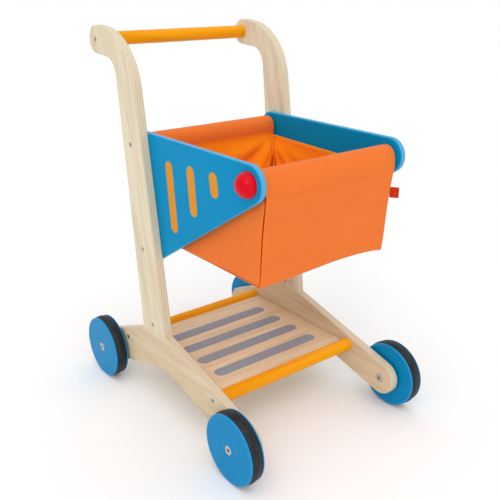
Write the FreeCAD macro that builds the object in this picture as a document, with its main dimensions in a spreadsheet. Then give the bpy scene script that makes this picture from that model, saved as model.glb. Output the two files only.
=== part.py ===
import FreeCAD, Part
import math
import os
import Sketcher

# Wooden push-along shopping cart for a small child, in millimetres.
# Frame: X across the cart, +X the pusher's left; front is -Y, the handle is at +Y; Z up, floor Z = 0.
# The left half is modelled and mirrored in the plane X = 0 wherever the cart is symmetric.

DIMENSIONS = [
    # alias, value, what it measures
    ("wheelbase", 305, "front axle to rear axle"),
    ("tyre_radius", 44, "tread radius, so also the axle height"),
    ("wheel_radius", 43, "rim of the wooden disc"),
    ("rim_round", 1.6, "rounding of the disc's rims"),
    ("wheel_width", 19, "disc thickness"),
    ("wheel_gap", 3, "leg to wheel"),
    ("tyre_width", 15.4, "rubber band, across the tread"),
    ("tyre_seat", 40, "groove radius under the tyre"),
    ("tread_crown", 12, "radius of the tread's crown, seen in section"),
    ("shoulder_rise", 0.3, "centre of the shoulder's rounding over the groove"),
    ("shoulder_round", 2.4, "rounding of the tyre's shoulders"),
    ("half_inside", 108, "centre plane to a leg's inner face"),
    ("ply", 12, "plywood of legs and posts"),
    ("ply_round", 1.6, "eased edge of the plywood"),
    ("panel_ply", 8, "plywood of the side panels"),
    ("panel_round", 2.4, "rounded edge of the painted panels"),
    ("foot_radius", 22, "rounded leg end about an axle"),
    ("arch_y", 14, "centre of the arch under a leg"),
    ("arch_z", -34, "centre of the arch under a leg"),
    ("arch_radius", 94, "arch under a leg"),
    ("seat_front_y", 11.5, "front corner of the post's seat on the leg"),
    ("seat_front_z", 110, "front corner of the post's seat on the leg"),
    ("seat_rear_y", 65.5, "rear corner of the post's seat on the leg"),
    ("seat_rear_z", 105, "rear corner of the post's seat on the leg"),
    ("lap_front", 22, "half-lap tongue, front edge"),
    ("lap_rear", 56, "half-lap tongue, rear edge"),
    ("lap_foot", 90, "half-lap tongue, lower end inside the leg"),
    ("lap_top", 134, "half-lap tongue, top edge"),
    ("lap_ply", 6, "half-lap tongue, thickness"),
    ("lap_screw_y", 40.5, "screw through the half-lap"),
    ("lap_screw_z", 117.6, "screw through the half-lap"),
    ("handle_y", 143.9, "handle bar centre"),
    ("handle_z", 469.6, "handle bar centre"),
    ("hook_end", 17, "rounded end of a post about the handle bar"),
    ("crook_y", 121.4, "centre of the hollow under the hook"),
    ("crook_z", 427, "centre of the hollow under the hook"),
    ("crook_radius", 24, "hollow under the hook"),
    ("crown_y", 134, "centre of the bend over the hook"),
    ("crown_z", 405.5, "centre of the bend over the hook"),
    ("crown_radius", 80, "bend over the hook"),
    ("rod_radius", 8.5, "wooden dowel rods"),
    ("front_rod_y", -146.5, "basket's front rod, nose of the panels"),
    ("front_rod_z", 346, "basket's front rod, nose of the panels"),
    ("nose_radius", 21, "rounded front end of a panel"),
    ("rear_rod_y", 70.9, "basket's rear rod, upper panel screw"),
    ("rear_rod_z", 350.6, "basket's rear rod, upper panel screw"),
    ("heel_radius", 16.4, "rounded top rear corner of a panel"),
    ("toe_y", 55.3, "lower panel screw"),
    ("toe_z", 218.8, "lower panel screw"),
    ("toe_radius", 20, "rounded lower end of a panel"),
    ("cap_radius", 14, "red cap, across its foot"),
    ("cap_height", 14.5, "red cap, how far it stands out"),
    ("cap_foot", 1.6, "straight foot of the cap"),
    ("rail_z", 70, "shelf rails, centre height"),
    ("front_rail_y", -92.6, "shelf's front rail"),
    ("rear_rail_y", 112.3, "shelf's rear rail"),
    ("shelf_top", 72, "top face of the shelf board"),
    ("shelf_ply", 5, "shelf board thickness"),
    ("shelf_side_gap", 0.3, "shelf board to a leg"),
    ("groove_depth", 5, "how far the board enters a rail"),
    ("groove_spare", 0.5, "space past the board's edge in a rail"),
    ("basket_half", 98, "half width of the fabric basket"),
    ("cloth", 2, "wall of the basket solid"),
    ("basket_floor", 231, "underside of the basket"),
    ("basket_side_top", 338, "top edge of the basket's sides"),
    ("basket_front_foot", -152.5, "front wall at the floor"),
    ("basket_rear_foot", 48, "rear wall at the floor"),
    ("sleeve_radius", 13, "rod sleeve, outside"),
    ("sleeve_gap", 0.3, "rod to sleeve"),
    ("tag_width", 11, "sewn-in tag"),
    ("tag_height", 13, "sewn-in tag"),
    ("tag_cloth", 0.8, "sewn-in tag, folded ribbon"),
    ("tag_foot", 297, "lower edge of the tag"),
    ("screw_head_radius", 3.2, "wood screw head"),
    ("screw_head", 2.6, "wood screw head, height"),
    ("screw_sunk", 0.4, "how deep a head sits under the surface"),
    ("screw_radius", 1.9, "wood screw shank"),
    ("screw_tip", 3, "pointed end"),
    ("screw_play", 0.3, "counterbore to head"),
    ("socket_flats", 2.5, "hexagon socket of a wood screw, across flats"),
    ("socket_depth", 1.6, "hexagon socket of a wood screw"),
    ("long_screw", 40, "post, panel and rod"),
    ("mid_screw", 32, "post and rod, or leg and rail"),
    ("short_screw", 18, "post and panel"),
    ("lap_screw", 10.5, "post and tongue"),
    ("cap_screw", 26, "panel and front rod"),
    ("axle_radius", 4, "sleeve nut's barrel, on which a wheel turns"),
    ("axle_play", 0.08, "running clearance between the barrel and a wheel"),
    ("axle_head_radius", 6, "heads of the sleeve nut and its bolt"),
    ("axle_head", 1.5, "thickness of those heads"),
    ("axle_recess", 2, "recess in a wheel's face"),
    ("axle_recess_play", 0.6, "recess to head, all round"),
    ("end_play", 0.3, "free play of a wheel along its axle, at each side"),
    ("axle_start", 112, "inner end of the sleeve nut's barrel"),
    ("bolt_radius", 3, "axle bolt"),
    ("bolt_end", 131, "tip of the axle bolt"),
    ("axle_socket_flats", 4, "hexagon socket in both axle heads, across flats"),
    ("axle_socket", 3, "hexagon socket in the bolt and nut, depth"),
    ("washer_radius", 9, "spacer washer"),
]

TO_X = FreeCAD.Rotation(FreeCAD.Vector(0, 1, 0), 90)
TAG_TURN = -45  # degrees about Z

doc = FreeCAD.newDocument("ToyShoppingCart")
sheet = doc.addObject("Spreadsheet::Sheet", "Dims")
subparts = []


def fill_sheet():
    """Write the driving dimensions into the sheet, one aliased cell each."""
    for row, (alias, size, note) in enumerate(DIMENSIONS, start=1):
        sheet.set(f"A{row}", alias)
        sheet.set(f"B{row}", str(size))
        sheet.set(f"C{row}", note)
        sheet.setAlias(f"B{row}", alias)
    doc.recompute()


def sized(text):
    """Turn a formula of plain aliases into an expression on the sheet's cells."""
    words = text.split()
    aliases = {alias for alias, _size, _note in DIMENSIONS}
    return " ".join(f"Dims.{word}" if word in aliases else word for word in words)


def value(text):
    """Number that a formula of aliases has now."""
    return float(sheet.evalExpression(sized(text)))


def keep(part, label):
    """Give a sub-part the label that names its file, and list it for the checks."""
    part.Label = label
    subparts.append(part)
    return part


def move(part, x="0", y="0", z="0"):
    """Bind a part's place to formulas of the sheet."""
    for axis, text in zip("xyz", (x, y, z)):
        part.setExpression(f"Placement.Base.{axis}", sized(text))
    return part


def mirrored(part, label):
    """The same piece on the other side of the plane X = 0."""
    twin = doc.addObject("Part::Mirroring", "Mirror_" + label)
    twin.Source = part
    twin.Base = FreeCAD.Vector(0, 0, 0)
    twin.Normal = FreeCAD.Vector(1, 0, 0)
    return keep(twin, label)


# Sketches -------------------------------------------------------------------------------------

def sketch_on(body, role, offset=None):
    """New sketch on one of the body's own origin planes, lifted off it by a formula if one is given."""
    sketch = body.newObject("Sketcher::SketchObject", body.Name + "_sketch")
    plane = next(item for item in body.Origin.OriginFeatures if item.Role == role)
    sketch.AttachmentSupport = [(plane, "")]
    sketch.MapMode = "FlatFace"
    if offset:
        sketch.setExpression("AttachmentOffset.Base.z", sized(offset))
    return sketch


def hold(sketch, kind, items, text):
    """Add a dimension to a sketch and bind it to a formula."""
    number = sketch.addConstraint(Sketcher.Constraint(kind, *items, value(text)))
    name = f"size_{number}"
    sketch.renameConstraint(number, name)
    sketch.setExpression("Constraints." + name, sized(text))


def hold_point(sketch, geometry, point, across, up):
    """Hold a point of a sketch at two formulas from the sketch's origin."""
    hold(sketch, "DistanceX", (-1, 1, geometry, point), across)
    hold(sketch, "DistanceY", (-1, 1, geometry, point), up)


def tangent_line(first, second):
    """Ends of the line that leaves the first corner and reaches the second, both met on the side
    that their turn asks for: a corner is (centre, radius times turn), with the inside on the left."""
    (start, start_bend), (end, end_bend) = first, second
    reach = end - start
    bend = end_bend - start_bend
    along = math.sqrt(reach.Length ** 2 - bend ** 2)
    quarter = FreeCAD.Vector(-reach.y, reach.x, 0)
    heading = (reach * along - quarter * bend) / reach.Length ** 2
    left = FreeCAD.Vector(-heading.y, heading.x, 0)
    return start - left * start_bend, end - left * end_bend


def outline(sketch, corners):
    """Closed outline, drawn anticlockwise, of corners joined by straight lines.

    A corner is (across, up) when it is sharp, or (across, up, radius, turn) when it is an arc about
    that centre, with turn 1 on an outside corner and -1 in a hollow. All but turn are formulas."""
    bends = []
    for across, up, *arc in corners:
        centre = FreeCAD.Vector(value(across), value(up), 0)
        bends.append((centre, value(arc[0]) * arc[1] if arc else 0.0))
    count = len(corners)
    ends = [tangent_line(bends[i], bends[(i + 1) % count]) for i in range(count)]
    lines = [sketch.addGeometry(Part.LineSegment(*pair)) for pair in ends]
    for i, (across, up, *arc) in enumerate(corners):
        arriving, leaving = lines[i - 1], lines[i]
        if not arc:
            sketch.addConstraint(Sketcher.Constraint("Coincident", arriving, 2, leaving, 1))
            hold_point(sketch, leaving, 1, across, up)
            continue
        radius, turn = arc
        centre = bends[i][0]
        touch_in = ends[i - 1][1] - centre
        touch_out = ends[i][0] - centre
        spokes = (touch_in, touch_out) if turn > 0 else (touch_out, touch_in)
        angles = [math.atan2(spoke.y, spoke.x) for spoke in spokes]
        if angles[1] < angles[0]:
            angles[1] += 2 * math.pi
        circle = Part.Circle(centre, FreeCAD.Vector(0, 0, 1), value(radius))
        bow = sketch.addGeometry(Part.ArcOfCircle(circle, *angles))
        bow_start, bow_end = (1, 2) if turn > 0 else (2, 1)
        sketch.addConstraint(Sketcher.Constraint("Tangent", arriving, 2, bow, bow_start))
        sketch.addConstraint(Sketcher.Constraint("Tangent", leaving, 1, bow, bow_end))
        hold_point(sketch, bow, 3, across, up)
        hold(sketch, "Radius", (bow,), radius)
    return sketch


def circles(sketch, places, radius):
    """Equal circles at pairs of formulas."""
    for across, up in places:
        centre = FreeCAD.Vector(value(across), value(up), 0)
        ring = sketch.addGeometry(Part.Circle(centre, FreeCAD.Vector(0, 0, 1), value(radius)))
        hold_point(sketch, ring, 3, across, up)
        hold(sketch, "Radius", (ring,), radius)
    return sketch


# Features -------------------------------------------------------------------------------------

def new_body(name):
    return doc.addObject("PartDesign::Body", name)


def pad(body, sketch, length, midplane=False):
    """Extrude a sketch along its normal, or both ways from it."""
    feature = body.newObject("PartDesign::Pad", body.Name + "_pad")
    feature.Profile = sketch
    feature.setExpression("Length", sized(length))
    feature.SideType = "Symmetric" if midplane else "One side"
    doc.recompute()
    return feature


def check_cut(body, before):
    """A cut that points away from the solid removes nothing and says nothing."""
    if not body.Shape.Volume < before - 1e-6:
        raise RuntimeError(f"a cut in {body.Name} removes nothing")


def pocket(body, sketch, depth=None, along_normal=False):
    """Cut a sketch into the body to a depth, or right through it both ways."""
    before = body.Shape.Volume
    feature = body.newObject("PartDesign::Pocket", body.Name + "_pocket")
    feature.Profile = sketch
    if depth:
        feature.setExpression("Length", sized(depth))
        feature.Reversed = along_normal
    else:
        feature.Type = "ThroughAll"
        feature.SideType = "Symmetric"
    doc.recompute()
    check_cut(body, before)
    return feature


def revolve(body, sketch):
    """Turn a sketch once about the horizontal axis of its plane, the X axis here."""
    feature = body.newObject("PartDesign::Revolution", body.Name + "_turned")
    feature.Profile = sketch
    feature.ReferenceAxis = (sketch, ["H_Axis"])
    feature.Angle = 360
    doc.recompute()
    return feature


def ease_edges(body, radius, flat_x, sharp=()):
    """Round the long edges of a board's two faces, apart from those that lie on a sharp line.

    flat_x holds the two faces' X in the body, and sharp holds pairs of (Y, Z) end points."""
    def on_face(edge):
        return any(all(abs(v.Point.x - x) < 1e-4 for v in edge.Vertexes) for x in flat_x)

    def on_sharp(edge):
        middle = edge.valueAt((edge.FirstParameter + edge.LastParameter) / 2)
        for (y1, z1), (y2, z2) in sharp:
            low, high = min(y1, y2), max(y1, y2)
            if not low - 1e-3 <= middle.y <= high + 1e-3:
                continue
            on_line = z1 + (z2 - z1) * (middle.y - y1) / (y2 - y1)
            if abs(middle.z - on_line) < 1e-3:
                return True
        return False

    shape = body.Shape
    outer = [wire for face in shape.Faces if face.Surface.TypeId == "Part::GeomPlane"
             for wire in [face.OuterWire] if face.BoundBox.XLength < 1e-4]
    names = []
    for number, edge in enumerate(shape.Edges, start=1):
        in_outer = any(edge.isSame(other) for wire in outer for other in wire.Edges)
        if in_outer and on_face(edge) and not on_sharp(edge):
            names.append(f"Edge{number}")
    base = body.Tip
    feature = body.newObject("PartDesign::Fillet", body.Name + "_eased")
    feature.Base = (base, names)
    feature.setExpression("Radius", sized(radius))
    doc.recompute()
    return feature


def primitive(kind, name, sizes, x, y, z):
    """Part primitive whose own Z axis points along +X, with its sizes and place bound."""
    item = doc.addObject("Part::" + kind, name)
    item.Placement = FreeCAD.Placement(FreeCAD.Vector(), TO_X)
    for prop, text in sizes.items():
        item.setExpression(prop, sized(text))
    return move(item, x, y, z)


def cylinder(name, radius, x, length, y, z):
    return primitive("Cylinder", name, {"Radius": radius, "Height": length}, x, y, z)


def hexagon(name, flats, x, depth, y, z):
    """Hexagonal socket cutter; its corners lie on a circle of flats / sqrt(3)."""
    sizes = {"Circumradius": f"{flats} / sqrt( 3 )", "Height": depth}
    item = primitive("Prism", name, sizes, x, y, z)
    item.Polygon = 6
    return item


def fuse(name, shapes):
    item = doc.addObject("Part::MultiFuse", name)
    item.Shapes = shapes
    item.Refine = True
    return item


def cut(name, base, tool):
    item = doc.addObject("Part::Cut", name)
    item.Base = base
    item.Tool = tool
    item.Refine = True
    return item


# Places that several pieces share -------------------------------------------------------------

AXLES = {"front": "-1 * wheelbase / 2", "rear": "wheelbase / 2"}
OUTER_FACE = "half_inside + ply"
PANEL_INSIDE = "half_inside - panel_ply"
WHEEL_INSIDE = "half_inside + ply + wheel_gap"
WHEEL_OUTSIDE = "half_inside + ply + wheel_gap + wheel_width"
LAP_SCREW = ("lap_screw_y", "lap_screw_z")
HANDLE = ("handle_y", "handle_z")
FRONT_ROD = ("front_rod_y", "front_rod_z")
REAR_ROD = ("rear_rod_y", "rear_rod_z")
TOE = ("toe_y", "toe_z")
FRONT_RAIL = ("front_rail_y", "rail_z")
REAR_RAIL = ("rear_rail_y", "rail_z")
SEAT = [("seat_front_y", "seat_front_z"), ("seat_rear_y", "seat_rear_z")]
TONGUE = [
    ("lap_front", "lap_foot"),
    ("lap_rear", "lap_foot"),
    ("lap_rear", "lap_top"),
    ("lap_front", "lap_top"),
]


def screw_holes(body, places):
    """Shank holes right through a board, and counterbores for the heads in its outer face."""
    pocket(body, circles(sketch_on(body, "YZ_Plane"), places, "screw_radius"))
    face = sketch_on(body, "YZ_Plane", "ply")
    pocket(body, circles(face, places, "screw_head_radius + screw_play"), "screw_sunk + screw_head")


def seat_line():
    """The two ends of the post's seat, as numbers."""
    return tuple((value(across), value(up)) for across, up in SEAT)


# Frame ----------------------------------------------------------------------------------------

def make_leg():
    """Arched leg of 12 mm plywood, round at both axles, with a seat and a thin tongue for the post."""
    body = new_body("Leg")
    corners = [
        (AXLES["front"], "tyre_radius", "foot_radius", 1),
        ("arch_y", "arch_z", "arch_radius", -1),
        (AXLES["rear"], "tyre_radius", "foot_radius", 1),
        SEAT[1],
        SEAT[0],
    ]
    pad(body, outline(sketch_on(body, "YZ_Plane"), corners), "ply")
    ease_edges(body, "ply_round", (0, value("ply")), sharp=[seat_line()])
    pad(body, outline(sketch_on(body, "YZ_Plane"), TONGUE), "lap_ply")
    screw_holes(body, [FRONT_RAIL, REAR_RAIL])
    pocket(body, circles(sketch_on(body, "YZ_Plane"), [LAP_SCREW], "screw_radius"))
    axles = [(across, "tyre_radius") for across in AXLES.values()]
    pocket(body, circles(sketch_on(body, "YZ_Plane"), axles, "axle_radius"))
    pocket(body, circles(sketch_on(body, "YZ_Plane"), axles, "axle_head_radius + screw_play"),
           "axle_head", along_normal=True)
    return keep(move(body, x="half_inside"), "left_leg")


def make_post():
    """Post of 12 mm plywood that leans back and ends in a rounded hook about the handle bar."""
    body = new_body("Post")
    corners = [
        SEAT[0],
        SEAT[1],
        ("crook_y", "crook_z", "crook_radius", -1),
        ("handle_y", "handle_z", "hook_end", 1),
        ("crown_y", "crown_z", "crown_radius", 1),
    ]
    pad(body, outline(sketch_on(body, "YZ_Plane"), corners), "ply")
    ease_edges(body, "ply_round", (0, value("ply")), sharp=[seat_line()])
    pocket(body, outline(sketch_on(body, "YZ_Plane"), TONGUE), "lap_ply", along_normal=True)
    screw_holes(body, [HANDLE, REAR_ROD, TOE, LAP_SCREW])
    return keep(move(body, x="half_inside"), "left_post")


def make_panel():
    """Painted side panel: a wedge with three rounded ends, behind the post's inner face."""
    body = new_body("Panel")
    corners = [
        (*FRONT_ROD, "nose_radius", 1),
        (*TOE, "toe_radius", 1),
        (*REAR_ROD, "heel_radius", 1),
    ]
    pad(body, outline(sketch_on(body, "YZ_Plane"), corners), "panel_ply")
    ease_edges(body, "panel_round", (0, value("panel_ply")))
    pocket(body, circles(sketch_on(body, "YZ_Plane"), [FRONT_ROD, REAR_ROD, TOE], "screw_radius"))
    face = sketch_on(body, "YZ_Plane", "panel_ply")
    pocket(body, circles(face, [FRONT_ROD], "screw_head_radius + screw_play"), "screw_sunk + screw_head")
    return keep(move(body, x=PANEL_INSIDE), "left_side_panel")


def make_rod(label, place, half_length, bite, groove_side=0):
    """Dowel rod across the cart, drilled at both ends for its screws.

    groove_side is 1 or -1 for a rail that holds the shelf board on its +Y or -Y side."""
    body = new_body("Rod_" + label)
    section = [
        (f"-1 * ( {half_length} )", "screw_radius"),
        (f"-1 * ( {half_length} ) + {bite}", "screw_radius"),
        (f"-1 * ( {half_length} ) + {bite}", "0"),
        (f"{half_length} - {bite}", "0"),
        (f"{half_length} - {bite}", "screw_radius"),
        (half_length, "screw_radius"),
        (half_length, "rod_radius"),
        (f"-1 * ( {half_length} )", "rod_radius"),
    ]
    revolve(body, outline(sketch_on(body, "XY_Plane"), section))
    if groove_side:
        inner = f"{groove_side} * ( rod_radius - groove_depth - groove_spare )"
        outer = f"{groove_side} * rod_radius * 2"
        across = [inner, outer] if groove_side > 0 else [outer, inner]
        low, high = "shelf_top - shelf_ply - rail_z", "shelf_top - rail_z"
        slot = [(across[0], low), (across[1], low), (across[1], high), (across[0], high)]
        pocket(body, outline(sketch_on(body, "YZ_Plane"), slot))
    return keep(move(body, y=place[0], z=place[1]), label)


def make_shelf():
    """Thin plywood shelf, its front and rear edges held in the rails' grooves."""
    board = doc.addObject("Part::Box", "ShelfBoard")
    board.setExpression("Length", sized("2 * ( half_inside - shelf_side_gap )"))
    board.setExpression("Width", sized("rear_rail_y - front_rail_y - 2 * ( rod_radius - groove_depth )"))
    board.setExpression("Height", sized("shelf_ply"))
    move(board, "shelf_side_gap - half_inside", "front_rail_y + rod_radius - groove_depth",
         "shelf_top - shelf_ply")
    return keep(board, "shelf_board")


def make_cap():
    """Domed cap that hides the screw at a panel's nose."""
    body = new_body("Cap")
    dome = "( cap_radius * cap_radius + ( cap_height - cap_foot ) ^ 2 ) / ( 2 * ( cap_height - cap_foot ) )"
    sketch = sketch_on(body, "XY_Plane")
    foot_x, top_x, rim, bow = value("cap_foot"), value("cap_height"), value("cap_radius"), value(dome)
    centre = FreeCAD.Vector(top_x - bow, 0, 0)
    corner = FreeCAD.Vector(foot_x, rim, 0)
    points = [FreeCAD.Vector(top_x, 0, 0), FreeCAD.Vector(0, 0, 0), FreeCAD.Vector(0, rim, 0), corner]
    lines = [sketch.addGeometry(Part.LineSegment(points[i], points[i + 1])) for i in range(3)]
    circle = Part.Circle(centre, FreeCAD.Vector(0, 0, 1), bow)
    arc = sketch.addGeometry(Part.ArcOfCircle(circle, 0, math.atan2(rim, foot_x - centre.x)))
    for first, second in ((0, 1), (1, 2)):
        sketch.addConstraint(Sketcher.Constraint("Coincident", lines[first], 2, lines[second], 1))
    sketch.addConstraint(Sketcher.Constraint("Coincident", lines[2], 2, arc, 2))
    sketch.addConstraint(Sketcher.Constraint("Coincident", lines[0], 1, arc, 1))
    hold_point(sketch, lines[0], 1, "cap_height", "0")
    hold_point(sketch, lines[1], 1, "0", "0")
    hold_point(sketch, lines[2], 1, "0", "cap_radius")
    hold_point(sketch, arc, 2, "cap_foot", "cap_radius")
    hold(sketch, "Radius", (arc,), dome)
    revolve(body, sketch)
    return keep(move(body, "half_inside", *FRONT_ROD), "left_cap")


# Basket ---------------------------------------------------------------------------------------

def make_basket():
    """Fabric basket: floor, four walls, and a sleeve about each rod, open between the rods."""
    body = new_body("Basket")
    front_top = "front_rod_y - sleeve_radius"
    rear_top = "rear_rod_y - sleeve_radius"
    channel = [
        ("basket_front_foot", "basket_floor"),
        ("basket_rear_foot", "basket_floor"),
        (f"{rear_top} + cloth", "rear_rod_z"),
        (rear_top, "rear_rod_z"),
        ("basket_rear_foot - cloth", "basket_floor + cloth"),
        ("basket_front_foot + cloth", "basket_floor + cloth"),
        (f"{front_top} + cloth", "front_rod_z"),
        (front_top, "front_rod_z"),
    ]
    pad(body, outline(sketch_on(body, "YZ_Plane"), channel), "2 * basket_half", midplane=True)
    sleeves = sketch_on(body, "YZ_Plane")
    circles(sleeves, [FRONT_ROD, REAR_ROD], "sleeve_radius")
    circles(sleeves, [FRONT_ROD, REAR_ROD], "rod_radius + sleeve_gap")
    pad(body, sleeves, "2 * basket_half", midplane=True)
    rise = "( basket_side_top - basket_floor )"
    front_lean = f"( {front_top} - basket_front_foot ) * {rise} / ( front_rod_z - basket_floor )"
    rear_lean = f"( {rear_top} + cloth - basket_rear_foot ) * {rise} / ( rear_rod_z - basket_floor )"
    side = [
        ("basket_front_foot", "basket_floor"),
        ("basket_rear_foot", "basket_floor"),
        (f"basket_rear_foot + {rear_lean}", "basket_side_top"),
        (f"basket_front_foot + {front_lean}", "basket_side_top"),
    ]
    wall = pad(body, outline(sketch_on(body, "YZ_Plane", "basket_half - cloth"), side), "cloth")
    twin = body.newObject("PartDesign::Mirrored", "Basket_other_side")
    twin.Originals = [wall]
    plane = next(item for item in body.Origin.OriginFeatures if item.Role == "YZ_Plane")
    twin.MirrorPlane = (plane, [""])
    body.Tip = twin
    doc.recompute()
    return keep(body, "basket")


def make_tag():
    """Small plain ribbon tag, sewn into the basket's front left seam and pointing out of it."""
    tag = doc.addObject("Part::Box", "Tag")
    turn = FreeCAD.Rotation(FreeCAD.Vector(0, 0, 1), TAG_TURN)
    tag.Placement = FreeCAD.Placement(FreeCAD.Vector(), turn)
    tag.setExpression("Length", sized("tag_width"))
    tag.setExpression("Width", sized("tag_cloth"))
    tag.setExpression("Height", sized("tag_height"))
    seam = "basket_front_foot + ( front_rod_y - sleeve_radius - basket_front_foot ) * "
    seam += "( tag_foot - basket_floor ) / ( front_rod_z - basket_floor )"
    move(tag, "basket_half - tag_cloth", seam, "tag_foot")
    return keep(tag, "basket_tag")


# Running gear ---------------------------------------------------------------------------------

def make_wheel(end):
    """Wooden disc with a groove for its tyre, a bore for the axle and a recess for the axle's head."""
    body = new_body("Wheel_" + end)
    low = f"{WHEEL_INSIDE} + ( wheel_width - tyre_width ) / 2"
    high = f"{WHEEL_OUTSIDE} - ( wheel_width - tyre_width ) / 2"
    section = [
        (WHEEL_INSIDE, "axle_radius + axle_play"),
        (f"{WHEEL_OUTSIDE} - axle_recess", "axle_radius + axle_play"),
        (f"{WHEEL_OUTSIDE} - axle_recess", "axle_head_radius + axle_recess_play"),
        (WHEEL_OUTSIDE, "axle_head_radius + axle_recess_play"),
        (f"{WHEEL_OUTSIDE} - rim_round", "wheel_radius - rim_round", "rim_round", 1),
        (high, "wheel_radius"),
        (high, "tyre_seat"),
        (low, "tyre_seat"),
        (low, "wheel_radius"),
        (f"{WHEEL_INSIDE} + rim_round", "wheel_radius - rim_round", "rim_round", 1),
    ]
    revolve(body, outline(sketch_on(body, "XY_Plane"), section))
    return keep(move(body, y=AXLES[end], z="tyre_radius"), f"{end}_left_wheel")


def make_tyre(end):
    """Rubber band in the wheel's groove, with a crowned tread and rounded shoulders."""
    body = new_body("Tyre_" + end)
    middle = f"{WHEEL_INSIDE} + wheel_width / 2"
    reach = "( tyre_width / 2 - shoulder_round )"
    rise = "tyre_seat + shoulder_rise"
    section = [
        (f"{middle} - tyre_width / 2", "tyre_seat"),
        (f"{middle} + tyre_width / 2", "tyre_seat"),
        (f"{middle} + {reach}", rise, "shoulder_round", 1),
        (middle, "tyre_radius - tread_crown", "tread_crown", 1),
        (f"{middle} - {reach}", rise, "shoulder_round", 1),
    ]
    revolve(body, outline(sketch_on(body, "XY_Plane"), section))
    return keep(move(body, y=AXLES[end], z="tyre_radius"), f"{end}_left_tyre")


def make_axle_nut(end):
    """Sleeve nut: the barrel that carries a wheel, with a thin head and a hexagon socket outside."""
    place = (AXLES[end], "tyre_radius")
    head_x = f"{WHEEL_OUTSIDE} - axle_recess + end_play"
    barrel = cylinder(f"NutBarrel_{end}", "axle_radius", "axle_start", f"{head_x} - axle_start", *place)
    head = cylinder(f"NutHead_{end}", "axle_head_radius", head_x, "axle_head", *place)
    thread = cylinder(f"NutThread_{end}", "bolt_radius", "axle_start", "bolt_end - axle_start", *place)
    socket = hexagon(f"NutSocket_{end}", "axle_socket_flats", f"{head_x} + axle_head - axle_socket",
                     "axle_socket", *place)
    whole = fuse(f"NutWhole_{end}", [barrel, head])
    hollows = fuse(f"NutHollows_{end}", [thread, socket])
    return keep(cut(f"Nut_{end}", whole, hollows), f"{end}_left_axle_nut")


def make_axle_bolt(end):
    """Bolt from the inside of the leg into the sleeve nut, its head flush with the leg."""
    place = (AXLES[end], "tyre_radius")
    head = cylinder(f"BoltHead_{end}", "axle_head_radius", "half_inside", "axle_head", *place)
    shank = cylinder(f"BoltShank_{end}", "bolt_radius", "half_inside", "bolt_end - half_inside", *place)
    socket = hexagon(f"BoltSocket_{end}", "axle_socket_flats", "half_inside", "axle_socket", *place)
    return keep(cut(f"Bolt_{end}", fuse(f"BoltWhole_{end}", [head, shank]), socket), f"{end}_left_axle_bolt")


def make_washer(end):
    """Spacer washer on the barrel, between the leg and the wheel."""
    place = (AXLES[end], "tyre_radius")
    disc = cylinder(f"WasherDisc_{end}", "washer_radius", OUTER_FACE, "wheel_gap - end_play", *place)
    bore = cylinder(f"WasherBore_{end}", "axle_radius", OUTER_FACE, "wheel_gap", *place)
    return keep(cut(f"Washer_{end}", disc, bore), f"{end}_left_washer")


# Screws ---------------------------------------------------------------------------------------

def make_screws(label, place, length, face=OUTER_FACE):
    """A pair of wood screws, left and right, driven in from the outer face at one height."""
    top = f"{face} - screw_sunk"
    neck = f"{face} - screw_sunk - screw_head"
    tip = f"{face} - screw_sunk - {length}"
    head = cylinder(f"Head_{label}", "screw_head_radius", neck, "screw_head", *place)
    shank = cylinder(f"Shank_{label}", "screw_radius", f"{tip} + screw_tip",
                     f"{length} - screw_head - screw_tip", *place)
    point = primitive("Cone", f"Point_{label}",
                      {"Radius1": "screw_radius / 4", "Radius2": "screw_radius", "Height": "screw_tip"},
                      tip, *place)
    socket = hexagon(f"Socket_{label}", "socket_flats", f"{top} - socket_depth", "socket_depth", *place)
    left = cut(f"Left_{label}", fuse(f"Whole_{label}", [head, shank, point]), socket)
    right = doc.addObject("Part::Mirroring", f"Right_{label}")
    right.Source = left
    right.Normal = FreeCAD.Vector(1, 0, 0)
    pair = doc.addObject("Part::Compound", f"Pair_{label}")
    pair.Links = [left, right]
    return keep(pair, label)


# The whole cart -------------------------------------------------------------------------------

def make_all():
    fill_sheet()
    for piece, label in ((make_leg(), "right_leg"), (make_post(), "right_post"),
                         (make_panel(), "right_side_panel"), (make_cap(), "right_cap")):
        mirrored(piece, label)
    make_rod("handle_bar", HANDLE, "half_inside", "mid_screw - ply")
    make_rod("basket_front_rod", FRONT_ROD, PANEL_INSIDE, "cap_screw - panel_ply")
    make_rod("basket_rear_rod", REAR_ROD, PANEL_INSIDE, "long_screw - ply - panel_ply")
    make_rod("shelf_front_rail", FRONT_RAIL, "half_inside", "mid_screw - ply", groove_side=1)
    make_rod("shelf_rear_rail", REAR_RAIL, "half_inside", "mid_screw - ply", groove_side=-1)
    make_shelf()
    make_basket()
    make_tag()
    for end in AXLES:
        for make in (make_wheel, make_tyre, make_axle_nut, make_axle_bolt, make_washer):
            piece = make(end)
            mirrored(piece, piece.Label.replace("left", "right"))
    make_screws("handle_screws", HANDLE, "mid_screw")
    make_screws("rear_rod_screws", REAR_ROD, "long_screw")
    make_screws("panel_screws", TOE, "short_screw")
    make_screws("post_lap_screws", LAP_SCREW, "lap_screw")
    make_screws("front_rail_screws", FRONT_RAIL, "mid_screw")
    make_screws("rear_rail_screws", REAR_RAIL, "mid_screw")
    make_screws("front_rod_screws", FRONT_ROD, "cap_screw", face="half_inside")
    doc.recompute()


def check_all():
    """Stop if any object failed, or any sub-part has no sound shape."""
    for item in doc.Objects:
        if {"Invalid", "Error"} & set(item.State):
            raise RuntimeError(f"{item.Label} failed: {item.State}")
    for part in subparts:
        if part.Shape.isNull() or not part.Shape.isValid() or not part.Shape.Solids:
            raise RuntimeError(f"{part.Label} has no valid solid")


def write_all():
    os.makedirs("parts", exist_ok=True)
    for part in subparts:
        part.Shape.exportStep(f"parts/{part.Label}.step")
        print(f"{part.Label:24} solids {len(part.Shape.Solids)}  volume {part.Shape.Volume:10.1f} mm3")


make_all()
check_all()
write_all()
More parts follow.
